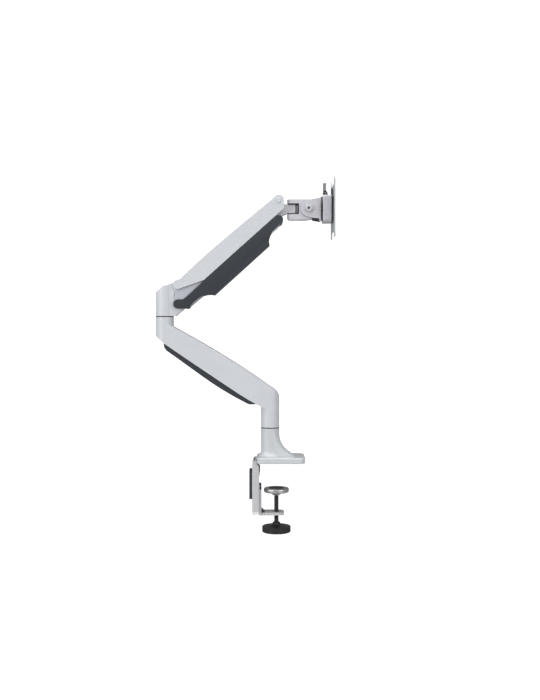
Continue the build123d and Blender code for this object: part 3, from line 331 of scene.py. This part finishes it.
def shade(obj):
    for face in obj.data.polygons:
        face.use_smooth = True
    obj.data.set_sharp_from_angle(angle=SMOOTH_ANGLE)
    normals = obj.modifiers.new("normals", "WEIGHTED_NORMAL")
    normals.keep_sharp = True


def put_in_place(work, name, node):
    """Turn the working copy into an object that stands in for the node."""
    slot = SLOTS[node]
    body = body_of(node)
    mesh = bpy.data.meshes.new(name)
    work.to_mesh(mesh)
    work.free()
    obj = bpy.data.objects.new(name, mesh)
    link(obj)
    obj.data.materials.append(MATERIALS[slot])
    shade(obj)
    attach(obj, body)
    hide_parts(node)


def paint_nodes():
    for node, obj in frame["nodes"].items():
        obj.data.materials.clear()
        obj.data.materials.append(MATERIALS[SLOTS[node]])


# ---------------------------------------------------------------- rounded edges
def sharp_edges(work):
    return [e for e in work.edges if e.is_manifold and e.calc_face_angle(0) > SHARP_ANGLE]


def round_edges(work, edges, width, steps):
    if edges:
        bmesh.ops.bevel(work, geom=edges, offset=width * MM, offset_type="OFFSET", segments=steps,
                        profile=0.5, affect="EDGES", clamp_overlap=True)


def edge_between(edge, first, second):
    """True where one face of the edge passes the first test and its other face the second."""
    if len(edge.link_faces) != 2:
        return False
    a, b = [face.normal for face in edge.link_faces]
    return (first(a) and second(b)) or (first(b) and second(a))


def sideways(normal):
    return abs(normal.y) > SIDE_NORMAL


def upward(normal):
    return normal.z > UP_NORMAL


def downward(normal):
    return normal.z < DOWN_NORMAL


def middle(edge):
    return (edge.verts[0].co + edge.verts[1].co) / 2


def outer_edges(work, half_width, facing):
    """Edges beyond the half width, between a side face and a face that faces the given way."""
    found = []
    for edge in work.edges:
        if abs(middle(edge).y) > half_width and edge_between(edge, sideways, facing):
            found.append(edge)
    return found


def broad_edges(node, work):
    """The edges of a node in BROAD_ROUND that get its broad rounding."""
    low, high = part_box(node)
    half = OUTER_SHARE * (high[1] - low[1]) / 2
    if node == "upper_casing":
        return outer_edges(work, half, upward)
    if node == "lower_link_cover":
        return outer_edges(work, half, downward)
    if node == "lower_arm_casting":
        tops = outer_edges(work, ARM_OUTER_SHARE * half, upward)
        return [e for e in tops if low[0] + ARM_BOSS < middle(e).x < high[0] - ARM_BOSS]
    tops = outer_edges(work, FOOT_OUTER, upward)
    return [e for e in tops if middle(e).z > low[2] + FOOT_PLATE]


def ease_bore(work):
    """Widen the friction washers' bore. The CAD gives the bolt no clearance there, and this copy does."""
    low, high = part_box("tilt_bolt")
    axis = Vector(((low[0] + high[0]) / 2, 0, (low[2] + high[2]) / 2))
    for vert in work.verts:
        outward = Vector((vert.co.x, 0, vert.co.z)) - axis
        if outward.length < BORE_REACH:
            vert.co += outward.normalized() * BORE_EASE


def refine(node):
    work = welded(node)
    if node == "tilt_friction_washers":
        ease_bore(work)
    if node in BROAD_ROUND:
        width, steps = BROAD_ROUND[node]
        round_edges(work, broad_edges(node, work), width, steps)
    round_edges(work, sharp_edges(work), NODE_ROUND.get(node, SMALL_ROUND), SMALL_STEPS)
    put_in_place(work, node + "_rounded", node)


# ---------------------------------------------------------------- thread and coil
def from_axis(vert, centre):
    return Vector((vert.co.x - centre.x, vert.co.y - centre.y, 0))


def join_rings(work, rings):
    """Walls between one ring and the next, and a cap on each end."""
    count = len(rings[0])
    for first, second in zip(rings, rings[1:]):
        for side in range(count):
            after = (side + 1) % count
            work.faces.new((first[side], first[after], second[after], second[side]))
    work.faces.new(rings[0][::-1])
    work.faces.new(rings[-1])


def thread_ring(work, row, centre, radius, height):
    """One level ring of the thread, from root to crest and back once around."""
    ring = []
    for step in range(THREAD_AROUND):
        turn = 2 * math.pi * step / THREAD_AROUND
        phase = (row / THREAD_ROWS - step / THREAD_AROUND) % 1.0
        reach = radius - THREAD_DEPTH * MM * abs(2 * phase - 1)
        place = centre + Vector((reach * math.cos(turn), reach * math.sin(turn), height))
        ring.append(work.verts.new(place))
    return ring


def threaded_spindle():
    """The clamp spindle with its thread as a helix; the neck and rivet keep their shape."""
    node = "clamp_spindle"
    work = welded(node)
    low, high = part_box(node)
    centre = Vector(((low[0] + high[0]) / 2, (low[1] + high[1]) / 2, 0))
    half_way = (low[2] + high[2]) / 2
    radius = max(from_axis(vert, centre).length for vert in work.verts if vert.co.z < half_way)
    below_head = [vert for vert in work.verts if vert.co.z < high[2] - SPINDLE_HEAD]
    shank = [vert for vert in below_head if from_axis(vert, centre).length > SHANK_SHARE * radius]
    top = max(vert.co.z for vert in shank)
    for vert in shank:
        vert.co -= from_axis(vert, centre) * (THREAD_DEPTH * MM / radius)
    rows = int((top - low[2] - THREAD_PLAIN) / (THREAD_PITCH * MM) * THREAD_ROWS)
    rings = []
    for row in range(rows + 1):
        height = low[2] + THREAD_START + row * THREAD_PITCH * MM / THREAD_ROWS
        rings.append(thread_ring(work, row, centre, radius, height))
    join_rings(work, rings)
    put_in_place(work, "clamp_spindle_thread", node)


def wire_ring(work, core, out, wire_radius):
    ring = []
    for side in range(COIL_AROUND):
        angle = 2 * math.pi * side / COIL_AROUND
        spread = out * math.cos(angle) + Vector((0, math.sin(angle), 0))
        ring.append(work.verts.new(core + spread * wire_radius))
    return ring


def lever_coil():
    """The torsion spring as wound wire, in the room its ring takes."""
    node = "lever_spring"
    low, high = [Vector(corner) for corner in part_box(node)]
    centre = (low + high) / 2
    wire_radius = COIL_WIRE * MM
    coil_radius = (high.x - low.x) / 2 - wire_radius
    length = high.y - low.y - 2 * wire_radius
    steps = COIL_TURNS * COIL_STEPS
    work = bmesh.new()
    rings = []
    for step in range(steps + 1):
        turn = 2 * math.pi * COIL_TURNS * step / steps
        out = Vector((math.cos(turn), 0, math.sin(turn)))
        core = centre + out * coil_radius + Vector((0, length * (step / steps - 0.5), 0))
        rings.append(wire_ring(work, core, out, wire_radius))
    join_rings(work, rings)
    bmesh.ops.recalc_face_normals(work, faces=work.faces)
    put_in_place(work, "lever_spring_coil", node)


paint_nodes()
for name in SLOTS:
    if name not in NOT_ROUNDED:
        refine(name)
threaded_spindle()
lever_coil()


# ---------------------------------------------------------------- stage
def seen_white(tree, lit, output):
    """Send pure white to the camera and the given shader to every other ray."""
    white = tree.nodes.new("ShaderNodeEmission")
    white.inputs["Strength"].default_value = WHITE_STRENGTH
    path = tree.nodes.new("ShaderNodeLightPath")
    mix = tree.nodes.new("ShaderNodeMixShader")
    tree.links.new(path.outputs["Is Camera Ray"], mix.inputs[0])
    tree.links.new(lit, mix.inputs[1])
    tree.links.new(white.outputs[0], mix.inputs[2])
    tree.links.new(mix.outputs[0], output)


def add_floor():
    low = cad_box[0][2]
    bpy.ops.mesh.primitive_plane_add(size=FLOOR_SIZE, location=(0, 0, low - FLOOR_DROP))
    floor = bpy.context.object
    floor.name = "floor"
    material, shader = start_material("floor_white", FLOOR_GREY, FLOOR_ROUGHNESS)
    shader.inputs["Emission Color"].default_value = (1, 1, 1, 1)
    shader.inputs["Emission Strength"].default_value = FLOOR_GLOW
    tree = material.node_tree
    seen_white(tree, shader.outputs[0], tree.nodes["Material Output"].inputs["Surface"])
    floor.data.materials.append(material)


def add_world():
    """A studio that is bright in front of the arm and dark behind it."""
    world = bpy.data.worlds.new("studio")
    bpy.context.scene.world = world
    world.use_nodes = True
    tree = world.node_tree
    ground = tree.nodes["Background"]
    ground.inputs["Color"].default_value = (1, 1, 1, 1)
    place = add_node(world, "ShaderNodeTexCoord")
    split = add_node(world, "ShaderNodeSeparateXYZ")
    wire(world, place, "Generated", split, 0)
    span = map_range(world, split, "Y", WORLD_Y, WORLD_STRENGTH)
    wire(world, span, "Result", ground, "Strength")
    seen_white(tree, ground.outputs[0], tree.nodes["World Output"].inputs["Surface"])


def add_soft_light(name, place, size, power):
    light = bpy.data.lights.new(name, "AREA")
    light.shape = "RECTANGLE"
    light.size = size[0]
    light.size_y = size[1]
    light.energy = power
    obj = bpy.data.objects.new(name, light)
    link(obj)
    obj.location = place
    toward = Vector(LIGHT_AIM) - Vector(place)
    obj.rotation_euler = toward.to_track_quat("-Z", "Y").to_euler()


def add_camera():
    data = bpy.data.cameras.new("camera")
    camera = bpy.data.objects.new("camera", data)
    link(camera)
    camera.location = CAMERA_PLACE
    camera.rotation_euler = (math.radians(90), 0, 0)
    data.lens = CAMERA_LENS
    data.sensor_width = CAMERA_SENSOR
    data.shift_x = CAMERA_SHIFT[0]
    data.shift_y = CAMERA_SHIFT[1]
    bpy.context.scene.camera = camera


add_floor()
add_world()
for name, (place, size, power) in LIGHTS.items():
    add_soft_light(name, place, size, power)
add_camera()
bpy.context.scene.view_settings.view_transform = "Standard"
